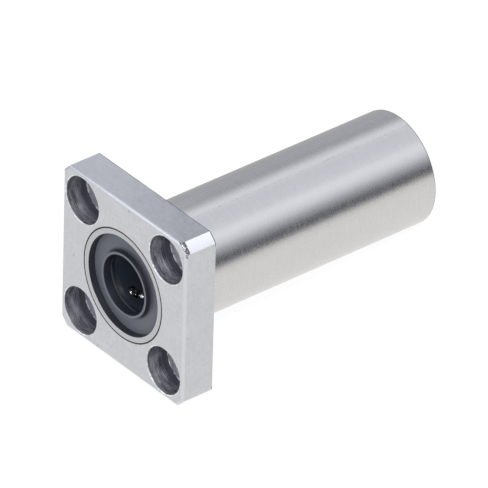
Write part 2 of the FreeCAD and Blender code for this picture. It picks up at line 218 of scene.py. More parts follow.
def cut_away(bm, cutters):
    """Take the cutters' shapes out of a working mesh, with a boolean that is applied at once."""
    solids = []
    for number, shape in enumerate([bm, *cutters]):
        mesh = bpy.data.meshes.new(f"cutting_{number}")
        shape.to_mesh(mesh)
        shape.free()
        solid = bpy.data.objects.new(f"cutting_{number}", mesh)
        bpy.context.scene.collection.objects.link(solid)
        solids.append(solid)
    body, knives = solids[0], solids[1:]
    for knife in knives:
        cut = body.modifiers.new("cut", "BOOLEAN")
        cut.operation = "DIFFERENCE"
        cut.solver = "EXACT"
        cut.object = knife
    bpy.context.view_layer.update()
    result = bmesh.new()
    result.from_object(body, bpy.context.evaluated_depsgraph_get())
    for solid in solids:
        mesh = solid.data
        bpy.data.objects.remove(solid)
        bpy.data.meshes.remove(mesh)
    return result


print("cutting helpers ready")

# %% [markdown]
# ## The flange
#
# The real flange is milled from plate and its corners are turned round on a lathe. The plate
# starts as a disc of the corners' radius. Four planes cut the straight sides, so the corners keep
# the disc's own curve, and then it gets its thickness. The bore and the four stepped screw holes
# are cut out with rods, and each kind of edge is rounded by its own small width, because it is the
# soft edges that catch the light.

# %% Flange plate
plate = bmesh.new()
bmesh.ops.create_circle(
    plate,
    cap_ends=True,
    segments=360,
    radius=CORNER_R * MM,
    matrix=Matrix.Translation((0, FRONT * MM, 0)) @ Matrix.Rotation(math.radians(90), 4, "X"),
)
for side in (Vector((1, 0, 0)), Vector((-1, 0, 0)), Vector((0, 0, 1)), Vector((0, 0, -1))):
    bmesh.ops.bisect_plane(
        plate,
        geom=plate.verts[:] + plate.edges[:] + plate.faces[:],
        plane_co=side * HALF_WIDTH * MM,
        plane_no=side,
        clear_outer=True,
    )
thick = bmesh.ops.extrude_face_region(plate, geom=plate.faces[:])
moved = [item for item in thick["geom"] if isinstance(item, bmesh.types.BMVert)]
bmesh.ops.translate(plate, vec=(0, THICKNESS * MM, 0), verts=moved)
bmesh.ops.recalc_face_normals(plate, faces=plate.faces)

rods = [rod(BORE_R, FRONT - 1, 1, 0, 0, segments=ROUND_STEPS)]
for across in (HOLE_PLACE, -HOLE_PLACE):
    for up in (HOLE_PLACE, -HOLE_PLACE):
        rods.append(rod(HEAD_R, FRONT - 1, -HEAD_FLOOR, across, up))
        rods.append(rod(SCREW_R, -HEAD_FLOOR - 1, 1, across, up))
plate = cut_away(plate, rods)
print("flange plate with holes:", len(plate.faces), "faces")


# %% [markdown]
# The edges to round are found by where they lie: in the front or the back face, on the outline,
# at a hole's mouth or at the bore. Only edges where two faces turn a real corner count.


# %% Flange edges
def lies_across(edge, place):
    """Whether an edge lies in the plane across the axis at a place in millimetres."""
    return all(abs(vert.co.y - place * MM) < NEAR for vert in edge.verts)


def meets_wall(edge):
    """Whether an edge joins two faces that turn a real corner."""
    return len(edge.link_faces) == 2 and edge.calc_face_angle(0) > math.radians(40)


def hole_distance(edge):
    """Distance of an edge's middle from the nearest screw hole's axis, in millimetres."""
    middle = (edge.verts[0].co + edge.verts[1].co) / 2 / MM
    return math.hypot(abs(middle.x) - HOLE_PLACE, abs(middle.z) - HOLE_PLACE)


def is_outline(edge):
    """Whether an edge belongs to the square outline, past the holes and the bore."""
    middle = (edge.verts[0].co + edge.verts[1].co) / 2 / MM
    past_sides = max(abs(middle.x), abs(middle.z)) > HALF_WIDTH - SLACK / 2
    return past_sides or math.hypot(middle.x, middle.z) > CORNER_R - SLACK


def at_mouth(radius):
    """Test for the edges at the mouth of a hole of this radius."""
    return lambda edge: abs(hole_distance(edge) - radius) < SLACK


def flange_edges(place, test):
    """Corner edges in one of the flange's flat faces that pass a test."""
    return [e for e in plate.edges if lies_across(e, place) and meets_wall(e) and test(e)]


round_off(plate, flange_edges(FRONT, is_outline), FRONT_ROUND, segments=5)
round_off(plate, flange_edges(0, is_outline), SEAT_ROUND)
round_off(plate, flange_edges(FRONT, at_mouth(HEAD_R)), RIM_ROUND)
round_off(plate, flange_edges(0, at_mouth(SCREW_R)), SCREW_ROUND, 2)
round_rings(plate, [(BORE_R, FRONT, JOINT_ROUND)], 2)
flange = finished_piece("flange_plate", plate, ["flange"])

# %% [markdown]
# ## The outer cylinder
#
# The tube is a turned part, so its outline is spun about the shaft axis. Inside it has a seat for
# each seal, a groove for each side ring, room where the balls turn round, and the race that the
# loaded balls run on. The return rows run further out, in eight round grooves that are cut after
# the spin.

# %% Cylinder outline and spin
# Depths below an end face.
SEAT_END = 2.2
RING_END = 3.0
ROW_NEAR = 6.032
ROW_FAR = 24.318

# How far a return groove runs past its row.
GROOVE_PLAY = 0.06

inside = [
    (SEAT_R, 0),
    (SEAT_R, SEAT_END),
    (GROOVE_R, SEAT_END),
    (GROOVE_R, RING_END),
    (RELIEF_R, RING_END),
    (RELIEF_R, ROW_NEAR),
    (RACE_R, ROW_NEAR),
    (RACE_R, ROW_FAR),
    (RELIEF_R, ROW_FAR),
]
outline = [(CYLINDER_R, FRONT), (CYLINDER_R, REAR)]
outline += [(radius, REAR - depth) for radius, depth in inside]
outline += [(radius, FRONT + depth) for radius, depth in reversed(inside)]
tube = spun(outline)
round_rings(tube, [(CYLINDER_R, REAR, REAR_ROUND)], 4)
round_rings(tube, [(SEAT_R, FRONT, MOUTH_ROUND), (SEAT_R, REAR, MOUTH_ROUND)], 4)
round_rings(tube, [(CYLINDER_R, FRONT, JOINT_ROUND)], 2)
print("cylinder outline has", len(outline), "corners")

# %% [markdown]
# The grooves stand beside the race, two to each of the four places round the axis: one for the
# front loops and one for the rear loops.

# %% Return grooves
grooves = []
for circuit in range(CIRCUITS):
    turn = Matrix.Rotation(math.radians(CIRCUIT_TURN + 90 * circuit), 4, "Y")
    for across, low in ((ROW_SPACING, FRONT + ROW_NEAR), (-ROW_SPACING, REAR - ROW_FAR)):
        high = low + ROW_FAR - ROW_NEAR
        groove = rod(CHANNEL_R, low - GROOVE_PLAY, high + GROOVE_PLAY, across, LOAD_R, 48)
        bmesh.ops.transform(groove, matrix=turn, verts=groove.verts)
        grooves.append(groove)
tube = cut_away(tube, grooves)
cylinder = finished_piece("ground_cylinder", tube, ["outer_cylinder"])

# %% [markdown]
# ## The seals
#
# Each seal is moulded rubber: a flat disc, sunk a little below the end face, with a raised lip
# ring round the shaft. It is spun like the tube, and its corners are rounder than those of metal,
# as rubber comes out of a mould.

# %% Two seals
SEAL_SUNK = 1.2
SEAL_BACK = 2.2
LIP_INSET = 0.2
LIP_R = 5.5
LIP_LENGTH = 1.4
LIP_RELIEF = 0.35
LIP_ROUND = 0.08
FOOT_ROUND = 0.4
SEAL_PLAY = 0.01
SEAL_R = SEAT_R - SEAL_PLAY


def make_seal(name, turned, stands_for):
    """One seal in the plane of the front end, or turned end for end into the free end."""
    seal = spun(
        [
            (SHAFT_R, FRONT + LIP_INSET),
            (LIP_R, FRONT + LIP_INSET),
            (LIP_R, FRONT + SEAL_SUNK),
            (SEAL_R, FRONT + SEAL_SUNK),
            (SEAL_R, FRONT + SEAL_BACK),
            (SHAFT_R + LIP_RELIEF, FRONT + SEAL_BACK),
            (SHAFT_R, FRONT + LIP_INSET + LIP_LENGTH),
        ]
    )
    round_rings(seal, [(SHAFT_R, FRONT + LIP_INSET, MOUTH_ROUND)], 4)
    round_rings(seal, [(LIP_R, FRONT + LIP_INSET, LIP_ROUND)], 4)
    round_rings(seal, [(LIP_R, FRONT + SEAL_SUNK, FOOT_ROUND)], 5)
    round_rings(seal, [(SEAL_R, FRONT + SEAL_SUNK, MOUTH_ROUND)])
    if turned:
        far_end = Matrix.Translation((0, (FRONT + REAR) * MM, 0))
        end_for_end = Matrix.Rotation(math.pi, 4, "Z")
        bmesh.ops.transform(seal, matrix=far_end @ end_for_end, verts=seal.verts)
    return finished_piece(name, seal, [stands_for])


seals = [
    make_seal("front_seal", False, "seal_front"),
    make_seal("free_end_seal", True, "seal_rear"),
]

# %% [markdown]
# ## The balls
#
# The construction model draws each ball with twenty flat faces. Here each gets a rounder mesh on
# the same centre. A ball has only 80 faces, because there are 176 of them, and smooth shading
# makes its highlight round.


# %% Balls on the construction model's centres
def ball_centres(node):
    """Middle of each separate ball in a construction part.

    From a first corner, the list of a ball's corners grows along the edges until it has them all.
    """
    bm = bmesh.new()
    bm.from_mesh(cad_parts[node].data)
    bmesh.ops.remove_doubles(bm, verts=bm.verts, dist=WELD)
    reached = set()
    centres = []
    for start in bm.verts:
        if start in reached:
            continue
        reached.add(start)
        ball = [start]
        for vert in ball:
            for edge in vert.link_edges:
                other = edge.other_vert(vert)
                if other not in reached:
                    reached.add(other)
                    ball.append(other)
        total = Vector()
        for vert in ball:
            total += vert.co
        centres.append(total / len(ball))
    bm.free()
    return centres


balls = []
for node in sorted(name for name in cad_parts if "_balls_" in name):
    row = bmesh.new()
    for centre in ball_centres(node):
        bmesh.ops.create_icosphere(
            row, subdivisions=2, radius=BALL_R * MM, matrix=Matrix.Translation(centre)
        )
    balls.append(finished_piece("round_" + node, row, [node], keep_flats=False))

# %% [markdown]
# ## Finishes
#
# Polished and ground metal shows little colour of its own. What the eye reads is how rough it is
# and which way its fine marks run, so most of the work is in small bumps and small changes of
# roughness. Effects that several finishes share are node groups.


# %% Building blocks for materials
def new_material(name):
    """New material, with its node tree and its shader node."""
    material = bpy.data.materials.new(name)
    material.use_nodes = True
    tree = material.node_tree
    shader = tree.nodes["Principled BSDF"]
    return material, tree, shader


def new_group(name, inputs, outputs):
    """Shader node group with named number or vector sockets."""
    group = bpy.data.node_groups.new(name, "ShaderNodeTree")
    for socket, kind, start in inputs:
        made = group.interface.new_socket(socket, in_out="INPUT", socket_type=kind)
        if start is not None:
            made.default_value = start
    for socket, kind in outputs:
        group.interface.new_socket(socket, in_out="OUTPUT", socket_type=kind)
    start_node = group.nodes.new("NodeGroupInput")
    end_node = group.nodes.new("NodeGroupOutput")
    return group, start_node, end_node


def add(tree, kind, **settings):
    """Add a node, and set its properties and its input sockets by name."""
    node = tree.nodes.new(kind)
    for key, setting in settings.items():
        if hasattr(node, key):
            setattr(node, key, setting)
        else:
            node.inputs[key.replace("_", " ")].default_value = setting
    return node


def link(tree, start, end):
    """Join an output socket to an input socket."""
    tree.links.new(start, end)


def math_node(tree, operation, first, second=None):
    """Math node that takes sockets or plain numbers."""
    node = tree.nodes.new("ShaderNodeMath")
    node.operation = operation
    for index, source in enumerate((first, second)):
        if source is None:
            continue
        if isinstance(source, (int, float)):
            node.inputs[index].default_value = source
        else:
            tree.links.new(source, node.inputs[index])
    return node.outputs[0]


def use_group(tree, group, **settings):
    """Add a node group, and set its inputs to numbers or join them to sockets."""
    node = tree.nodes.new("ShaderNodeGroup")
    node.node_tree = group
    for key, setting in settings.items():
        socket = node.inputs[key.replace("_", " ")]
        if isinstance(setting, (int, float, tuple)):
            socket.default_value = setting
        else:
            tree.links.new(setting, socket)
    return node


FLOAT = "NodeSocketFloat"
VECTOR = "NodeSocketVector"
print("material helpers ready")

# %% [markdown]
# A mask is a number between 0 and 1 for each point of a piece. It mixes two numbers or two
# colours. Masks of limits are 0 or 1, and a stretched noise runs softly between them.


# %% Mixing by a mask
def mix_number(tree, mask, first, second):
    """Mix two numbers or sockets by a mask."""
    node = add(tree, "ShaderNodeMix", data_type="FLOAT")
    link(tree, mask, node.inputs["Factor"])
    for socket, source in (("A", first), ("B", second)):
        if isinstance(source, (int, float)):
            node.inputs[socket].default_value = source
        else:
            link(tree, source, node.inputs[socket])
    return node.outputs["Result"]


def mix_colour(tree, mask, first, second):
    """Mix two colours, given as numbers or sockets, by a mask."""
    node = add(tree, "ShaderNodeMix", data_type="RGBA")
    link(tree, mask, node.inputs["Factor"])
    colours = [socket for socket in node.inputs if socket.type == "RGBA"]
    for socket, source in zip(colours, (first, second)):
        if isinstance(source, tuple):
            socket.default_value = (*source, 1)
        else:
            link(tree, source, socket)
    return [socket for socket in node.outputs if socket.type == "RGBA"][0]


def spread_out(tree, socket, low, high, start=0.36, end=0.64):
    """Map a range onto low to high. Without a start and an end, it is the middle of a noise."""
    node = add(tree, "ShaderNodeMapRange", clamp=True)
    link(tree, socket, node.inputs["Value"])
    for name, number in (("From Min", start), ("From Max", end), ("To Min", low), ("To Max", high)):
        node.inputs[name].default_value = number
    return node.outputs["Result"]


def below(tree, socket, limit):
    """1 where a length in metres is under a limit in millimetres, else 0."""
    return math_node(tree, "LESS_THAN", socket, limit * MM)


def above(tree, socket, limit):
    """1 where a length in metres is over a limit in millimetres, else 0."""
    return math_node(tree, "GREATER_THAN", socket, limit * MM)


def all_of(tree, *masks):
    """Product of masks."""
    product = masks[0]
    for mask in masks[1:]:
        product = math_node(tree, "MULTIPLY", product, mask)
    return product


def length_of(tree, across, up):
    """Length of two sockets taken as a pair."""
    squares = [math_node(tree, "MULTIPLY", part, part) for part in (across, up)]
    return math_node(tree, "SQRT", math_node(tree, "ADD", *squares))


print("mixing helpers ready")

# %% [markdown]
# ### Fine marks
#
# Grinding and milling leave thousands of thin parallel marks. Noise that is stretched a long way
# in one direction looks like them. The group takes a position and three scales, and gives a
# height between 0 and 1 from two sizes of noise.

# %% Group of fine marks
marks, marks_in, marks_out = new_group(
    "fine marks",
    [("Position", VECTOR, None), ("Scale", VECTOR, (1, 1, 1)), ("Finer", FLOAT, 2.7)],
    [("Height", FLOAT)],
)
stretch = add(marks, "ShaderNodeVectorMath", operation="MULTIPLY")
link(marks, marks_in.outputs["Position"], stretch.inputs[0])
link(marks, marks_in.outputs["Scale"], stretch.inputs[1])
coarse = add(marks, "ShaderNodeTexNoise", Scale=1.0, Detail=3.0, Roughness=0.6)
fine = add(marks, "ShaderNodeTexNoise", Detail=2.0, Roughness=0.6)
link(marks, stretch.outputs[0], coarse.inputs["Vector"])
link(marks, stretch.outputs[0], fine.inputs["Vector"])
link(marks, marks_in.outputs["Finer"], fine.inputs["Scale"])
both = math_node(marks, "ADD", coarse.outputs["Fac"], fine.outputs["Fac"])
half = math_node(marks, "MULTIPLY", both, 0.5)
link(marks, half, marks_out.inputs["Height"])
print("fine marks:", len(marks.nodes), "nodes")

# %% [markdown]
# ### Where on the part
#
# A milled face, a turned corner and the wall of a hole are one piece of steel with different
# finishes. The next group turns a position into masks for those places, so that one material can
# change over the piece. It folds the four screw holes onto one, because they are alike.

# %% Group of places on the flange
# How far finishes and painted light and shade reach from edges and faces, in millimetres.
EDGE_REACH = 0.42
SEAT_EDGE_REACH = 0.22
BURR_REACH = 0.12
RIM_REACH = 0.2
RIM_DEPTH = 0.25
WALL_SLACK = 0.05
CORNER_SLACK = 0.015
SEAT_SKIN = 0.1
RIGHT_EDGE = 0.25
MOUTH_REACH = 0.3
JOINT_IN, JOINT_OUT, JOINT_DEPTH = 0.1, 0.15, 0.3
TIP_NEAR, TIP_FAR = 0.15, 0.95

# Places along the axis, in millimetres, between which a counterbore's wall grows darker
# towards its floor, as painted shade.
DEEP_SHADE_FROM, DEEP_SHADE_TO = -3.9, -2.9

# Metres that one radian of turn counts for in the marks that run round.
TURN_LENGTH = 0.004

places, places_in, places_out = new_group(
    "flange places",
    [("Position", VECTOR, None)],
    [("Hole", FLOAT), ("Hole Floor", FLOAT), ("Deep Shade", FLOAT), ("Burr", FLOAT), ("Rim", FLOAT)]
    + [("Corner", FLOAT), ("Corner Tip", FLOAT), ("Front Edge", FLOAT), ("Seat Edge", FLOAT)]
    + [("Joint", FLOAT), ("Ring Position", VECTOR), ("Turned Position", VECTOR)],
)
true_place = add(places, "ShaderNodeSeparateXYZ")
link(places, places_in.outputs["Position"], true_place.inputs[0])
folded = add(places, "ShaderNodeVectorMath", operation="ABSOLUTE")
link(places, places_in.outputs["Position"], folded.inputs[0])
quarter = add(places, "ShaderNodeSeparateXYZ")
link(places, folded.outputs[0], quarter.inputs[0])

along = true_place.outputs["Y"]
off_x = math_node(places, "SUBTRACT", quarter.outputs["X"], HOLE_PLACE * MM)
off_z = math_node(places, "SUBTRACT", quarter.outputs["Z"], HOLE_PLACE * MM)
from_hole = length_of(places, off_x, off_z)
from_axis = length_of(places, true_place.outputs["X"], true_place.outputs["Z"])
in_hole = all_of(
    places,
    below(places, from_hole, HEAD_R + WALL_SLACK),
    above(places, along, FRONT + RIM_DEPTH),
    below(places, along, -SEAT_SKIN),
)
on_floor = all_of(
    places,
    in_hole,
    above(places, along, -HEAD_FLOOR - SLACK),
    below(places, along, -HEAD_FLOOR + SLACK),
)
at_foot = all_of(
    places,
    in_hole,
    above(places, from_hole, HEAD_R - BURR_REACH),
    above(places, along, -HEAD_FLOOR - BURR_REACH),
)
on_corner = above(places, from_axis, CORNER_R - CORNER_SLACK)
near_corner = above(places, from_axis, CORNER_R - EDGE_REACH)
on_rounding = all_of(places, near_corner, below(places, along, FRONT + FRONT_ROUND))
on_tip = all_of(
    places,
    math_node(places, "MAXIMUM", on_corner, on_rounding),
    above(places, along, FRONT + TIP_NEAR),
    below(places, along, FRONT + TIP_FAR),
    above(places, true_place.outputs["X"], 0),
    above(places, true_place.outputs["Z"], 0),
)
# Painted shade: the wall of each counterbore grows darker towards its floor.
deep_shade = spread_out(places, along, 0, 1, DEEP_SHADE_FROM * MM, DEEP_SHADE_TO * MM)
on_rim = all_of(
    places,
    below(places, from_hole, HEAD_R + RIM_REACH),
    below(places, along, FRONT + RIM_DEPTH),
)
far_out = math_node(places, "MAXIMUM", quarter.outputs["X"], quarter.outputs["Z"])
past_side = above(places, far_out, HALF_WIDTH - EDGE_REACH)
on_front_edge = all_of(
    places,
    math_node(places, "MAXIMUM", past_side, near_corner),
    below(places, along, FRONT + EDGE_REACH),
)
# Painted shade: a thin dark line along the back edge of the outline, left out on the right side.
not_right = below(places, true_place.outputs["X"], HALF_WIDTH - RIGHT_EDGE)
seat_edge_shade = all_of(
    places,
    math_node(places, "MAXIMUM", not_right, near_corner),
    above(places, along, -SEAT_EDGE_REACH),
    below(places, along, -SLACK / 2),
    above(places, from_hole, SCREW_R + MOUTH_REACH),
)
near_joint = all_of(
    places,
    below(places, from_axis, CYLINDER_R + JOINT_OUT),
    above(places, from_axis, CYLINDER_R - JOINT_IN),
    below(places, along, FRONT + JOINT_DEPTH),
)
link(places, in_hole, places_out.inputs["Hole"])
link(places, on_floor, places_out.inputs["Hole Floor"])
link(places, all_of(places, in_hole, deep_shade), places_out.inputs["Deep Shade"])
link(places, at_foot, places_out.inputs["Burr"])
link(places, on_rim, places_out.inputs["Rim"])
link(places, on_corner, places_out.inputs["Corner"])
link(places, on_tip, places_out.inputs["Corner Tip"])
link(places, on_front_edge, places_out.inputs["Front Edge"])
link(places, seat_edge_shade, places_out.inputs["Seat Edge"])
link(places, near_joint, places_out.inputs["Joint"])
for socket, radius, up, across in (
    ("Ring Position", from_hole, off_z, off_x),
    ("Turned Position", from_axis, true_place.outputs["Z"], true_place.outputs["X"]),
):
    turn = math_node(places, "ARCTAN2", up, across)
    packed = add(places, "ShaderNodeCombineXYZ")
    link(places, radius, packed.inputs["X"])
    link(places, along, packed.inputs["Y"])
    link(places, math_node(places, "MULTIPLY", turn, TURN_LENGTH), packed.inputs["Z"])
    link(places, packed.outputs[0], places_out.inputs[socket])
print("flange places:", len(places.nodes), "nodes")

# %% [markdown]
# ### Milled flange steel
#
# The flat faces are pale and satin, with fine marks that cross and a few small pocks. The corners
# are turned, so they are shinier. Inside the counterbores the metal is darker, with painted shade
# that deepens towards each floor. It shows the rings of the cutter, with short bright strokes
# where the tool rubbed. The front edge carries a painted highlight that grows towards the right,
# and the back edge a thin line of painted shade.

# %% Flange material
JOINT_BLACK = (0.05, 0.05, 0.055)
NICK_DARK, NICK_LIGHT = (0.05, 0.05, 0.065), (0.70, 0.70, 0.74)
SEAT_EDGE_SHADE = (0.09, 0.09, 0.10)
WALL_DARK, WALL_LIGHT = (0.10, 0.10, 0.12), (0.52, 0.52, 0.56)
STROKE_LIGHT = (0.92, 0.92, 0.95)
POCK_DARK = (0.25, 0.25, 0.26)
FLOOR_DARK, FLOOR_LIGHT = (0.62, 0.63, 0.66), (0.82, 0.83, 0.86)
DULL_STEEL = (0.50, 0.505, 0.52)
SATIN_DARK, SATIN_LIGHT = (0.54, 0.545, 0.56), (0.62, 0.625, 0.64)
EDGE_HIGHLIGHT = (0.63, 0.635, 0.655)
CORNER_STEEL = (0.72, 0.72, 0.73)
BURR_LIGHT = (0.85, 0.85, 0.85)
RIM_LIGHT = (0.88, 0.88, 0.90)

# Places across the front edge between which its painted highlight grows, in millimetres.
HIGHLIGHT_FROM, HIGHLIGHT_TO = -12.5, -2.0

milled, tree, shader = new_material("milled_flange_steel")
where = add(tree, "ShaderNodeTexCoord")
spot = where.outputs["Object"]
on = use_group(tree, places, Position=spot).outputs
upright = use_group(tree, marks, Position=spot, Scale=(3400.0, 3400.0, 420.0)).outputs[0]
level = use_group(tree, marks, Position=spot, Scale=(420.0, 420.0, 3400.0)).outputs[0]
cloud = use_group(tree, marks, Position=spot, Scale=(420.0, 420.0, 420.0)).outputs[0]
round_hole = on["Ring Position"]
round_axis = on["Turned Position"]
rings = use_group(tree, marks, Position=round_hole, Scale=(700.0, 900.0, 170.0)).outputs[0]
cuts = use_group(tree, marks, Position=round_hole, Scale=(2000.0, 9000.0, 260.0)).outputs[0]
lathe = use_group(tree, marks, Position=round_axis, Scale=(500.0, 3600.0, 300.0)).outputs[0]
flat = math_node(tree, "MULTIPLY", math_node(tree, "ADD", upright, level), 0.5)

crossed = spread_out(tree, flat, 0, 1, 0.42, 0.58)
pale = mix_colour(tree, crossed, SATIN_DARK, SATIN_LIGHT)
cloudy = mix_colour(tree, spread_out(tree, cloud, 0, 0.45), pale, DULL_STEEL)
ringed = spread_out(tree, rings, 0, 1, 0.38, 0.68)
wall = mix_colour(tree, ringed, WALL_DARK, WALL_LIGHT)
strokes = spread_out(tree, cuts, 0, 1, 0.54, 0.61)
wall = mix_colour(tree, math_node(tree, "MULTIPLY", strokes, 0.85), wall, STROKE_LIGHT)
# Painted shade on the counterbore's wall, darkest at its floor.
wall = mix_colour(tree, on["Deep Shade"], wall, WALL_DARK)
floor = mix_colour(tree, spread_out(tree, cloud, 0, 1), FLOOR_DARK, FLOOR_LIGHT)
burr = math_node(tree, "MULTIPLY", on["Burr"], spread_out(tree, cloud, 0, 1, 0.46, 0.52))
nicks = use_group(tree, marks, Position=spot, Scale=(2600.0, 3600.0, 2600.0)).outputs[0]
nicked = spread_out(tree, nicks, 0, 1, 0.47, 0.57)
tip = mix_colour(tree, nicked, NICK_DARK, NICK_LIGHT)
pocks = use_group(tree, marks, Position=spot, Scale=(1100.0, 1100.0, 900.0)).outputs[0]
cloudy = mix_colour(tree, spread_out(tree, pocks, 0, 0.6, 0.62, 0.66), cloudy, POCK_DARK)
apart = add(tree, "ShaderNodeSeparateXYZ")
link(tree, spot, apart.inputs[0])
# Painted highlight: the front edge is painted lighter, from dull on the left to light on the right.
highlight_to_right = spread_out(tree, apart.outputs["X"], 0, 1, HIGHLIGHT_FROM * MM, HIGHLIGHT_TO * MM)
edge_highlight = mix_colour(tree, highlight_to_right, DULL_STEEL, EDGE_HIGHLIGHT)
colour = mix_colour(tree, on["Front Edge"], cloudy, edge_highlight)
rim = math_node(tree, "MULTIPLY", on["Rim"], spread_out(tree, cloud, 0, 1, 0.48, 0.56))
colour = mix_colour(tree, rim, colour, RIM_LIGHT)
colour = mix_colour(tree, on["Hole"], colour, wall)
colour = mix_colour(tree, on["Hole Floor"], colour, floor)
colour = mix_colour(tree, burr, colour, BURR_LIGHT)
colour = mix_colour(tree, on["Corner"], colour, CORNER_STEEL)
colour = mix_colour(tree, on["Corner Tip"], colour, tip)
# Painted shade along the back edge.
colour = mix_colour(tree, on["Seat Edge"], colour, SEAT_EDGE_SHADE)
colour = mix_colour(tree, on["Joint"], colour, JOINT_BLACK)
link(tree, colour, shader.inputs["Base Color"])

rough = spread_out(tree, flat, 0.28, 0.42)
walled = mix_number(tree, strokes, spread_out(tree, rings, 0.32, 0.46), 0.42)
rough = mix_number(tree, on["Hole"], rough, walled)
rough = mix_number(tree, on["Hole Floor"], rough, 0.5)
rough = mix_number(tree, on["Corner"], rough, 0.13)
rough = mix_number(tree, on["Corner Tip"], rough, 0.5)
link(tree, rough, shader.inputs["Roughness"])

height = mix_number(tree, on["Hole"], flat, cuts)
height = mix_number(tree, on["Corner"], height, lathe)
bump = add(tree, "ShaderNodeBump")
link(tree, mix_number(tree, on["Hole"], 0.3, 0.6), bump.inputs["Strength"])
link(tree, mix_number(tree, on["Hole"], 0.00002, 0.00004), bump.inputs["Distance"])
link(tree, height, bump.inputs["Height"])
link(tree, bump.outputs["Normal"], shader.inputs["Normal"])
link(tree, mix_number(tree, on["Hole"], 1.0, 0.8), shader.inputs["Metallic"])
print("flange material:", len(tree.nodes), "nodes")

# %% [markdown]
# ### Ground cylinder steel
#
# The tube turns while it is ground, so its marks run round it. They are fine, and long enough to
# look like short strokes, and they keep the bands of reflection soft. One fine line of pits runs
# along it. The walls of the seats inside it are only turned, so they are rougher, and they are
# painted dark, as painted shade in the recess.

# %% Cylinder material
PIT_LINE = math.radians(74.8)  # turn of the line of pits from +X to +Z
SEAT_WALL_SHADE = (0.14, 0.14, 0.16)
FAR_EDGE = (0.36, 0.36, 0.37)
PIT_DARK = (0.47, 0.465, 0.46)
END_FACE = (0.475, 0.478, 0.485)
GROUND_DARK, GROUND_LIGHT = (0.595, 0.582, 0.572), (0.635, 0.620, 0.610)

ground, tree, shader = new_material("ground_cylinder_steel")
where = add(tree, "ShaderNodeTexCoord")
spot = where.outputs["Object"]
on = use_group(tree, places, Position=spot).outputs
streaks = use_group(tree, marks, Position=spot, Scale=(220.0, 2300.0, 220.0)).outputs[0]
specks = use_group(tree, marks, Position=spot, Scale=(1300.0, 700.0, 1300.0)).outputs[0]
long_marks = math_node(tree, "MULTIPLY", streaks, 0.7)
short_marks = math_node(tree, "MULTIPLY", specks, 0.3)
both = math_node(tree, "ADD", long_marks, short_marks)
apart = add(tree, "ShaderNodeSeparateXYZ")
link(tree, spot, apart.inputs[0])
from_axis = length_of(tree, apart.outputs["X"], apart.outputs["Z"])
inner = below(tree, from_axis, SEAT_R + SLACK)
end_face = below(tree, from_axis, CYLINDER_R - JOINT_ROUND + SLACK / 2)

far_edge = above(tree, apart.outputs["Y"], REAR - REAR_ROUND - SLACK / 2)
turn = math_node(tree, "ARCTAN2", apart.outputs["Z"], apart.outputs["X"])
off_line = math_node(tree, "ABSOLUTE", math_node(tree, "SUBTRACT", turn, PIT_LINE))
pits = all_of(
    tree,
    spread_out(tree, off_line, 1, 0, 0.006, 0.016),
    spread_out(tree, specks, 0, 1, 0.50, 0.60),
)

ground_marks = spread_out(tree, both, 0, 1, 0.4, 0.6)
pale = mix_colour(tree, ground_marks, GROUND_DARK, GROUND_LIGHT)
pale = mix_colour(tree, pits, pale, PIT_DARK)
pale = mix_colour(tree, far_edge, pale, FAR_EDGE)
colour = mix_colour(tree, end_face, pale, END_FACE)
# Painted shade: the inside of the tube is painted dark.
colour = mix_colour(tree, inner, colour, SEAT_WALL_SHADE)
colour = mix_colour(tree, on["Joint"], colour, JOINT_BLACK)
link(tree, colour, shader.inputs["Base Color"])
rough = mix_number(tree, inner, spread_out(tree, both, 0.24, 0.30), 0.4)
link(tree, rough, shader.inputs["Roughness"])
bump = add(tree, "ShaderNodeBump", Strength=0.09, Distance=0.00002)
link(tree, streaks, bump.inputs["Height"])
link(tree, bump.outputs["Normal"], shader.inputs["Normal"])
shader.inputs["Metallic"].default_value = 1.0
print("cylinder material:", len(tree.nodes), "nodes")

# %% [markdown]
# ### Rubber, resin and small steel
#
# The seals are black rubber with a slightly blue, soft shine. They are painted darkest at the
# lip's foot and in the bore, as painted shade. The retainers are dark moulded resin, the side rings
# are spring steel, and the balls are polished like mirrors.


# %% Materials for the small parts
def grained(name, dark, light, scale, rough, rough_spread, bump_height, metallic=0.0):
    """Material whose colour, roughness and bump vary with a fine, even grain."""
    material, tree, shader = new_material(name)
    where = add(tree, "ShaderNodeTexCoord")
    grain = use_group(tree, marks, Position=where.outputs["Object"], Scale=scale).outputs[0]
    link(tree, mix_colour(tree, grain, dark, light), shader.inputs["Base Color"])
    spread = math_node(tree, "MULTIPLY", grain, rough_spread)
    link(tree, math_node(tree, "ADD", spread, rough), shader.inputs["Roughness"])
    bump = add(tree, "ShaderNodeBump", Strength=0.3, Distance=bump_height)
    link(tree, grain, bump.inputs["Height"])
    link(tree, bump.outputs["Normal"], shader.inputs["Normal"])
    shader.inputs["Metallic"].default_value = metallic
    return material


FOOT_SHADE = (0.010, 0.012, 0.018)
BORE_SHADE = (0.008, 0.011, 0.017)

# How far the painted shade reaches from the bore and from the lip, in millimetres.
BORE_REACH = 0.06
LIP_SLACK = 0.03
FOOT_SHADE_FROM, FOOT_SHADE_TO = 0.08, 0.52

rubber = grained(
    "seal_rubber", (0.082, 0.089, 0.104), (0.104, 0.113, 0.130), (2500.0, 2500.0, 2500.0),
    0.42, 0.2, 0.00001,
)
tree = rubber.node_tree
shader = tree.nodes["Principled BSDF"]
where = add(tree, "ShaderNodeTexCoord")
apart = add(tree, "ShaderNodeSeparateXYZ")
link(tree, where.outputs["Object"], apart.inputs[0])
from_axis = length_of(tree, apart.outputs["X"], apart.outputs["Z"])
in_bore = below(tree, from_axis, SHAFT_R + BORE_REACH)
outside = shader.inputs["Base Color"].links[0].from_socket
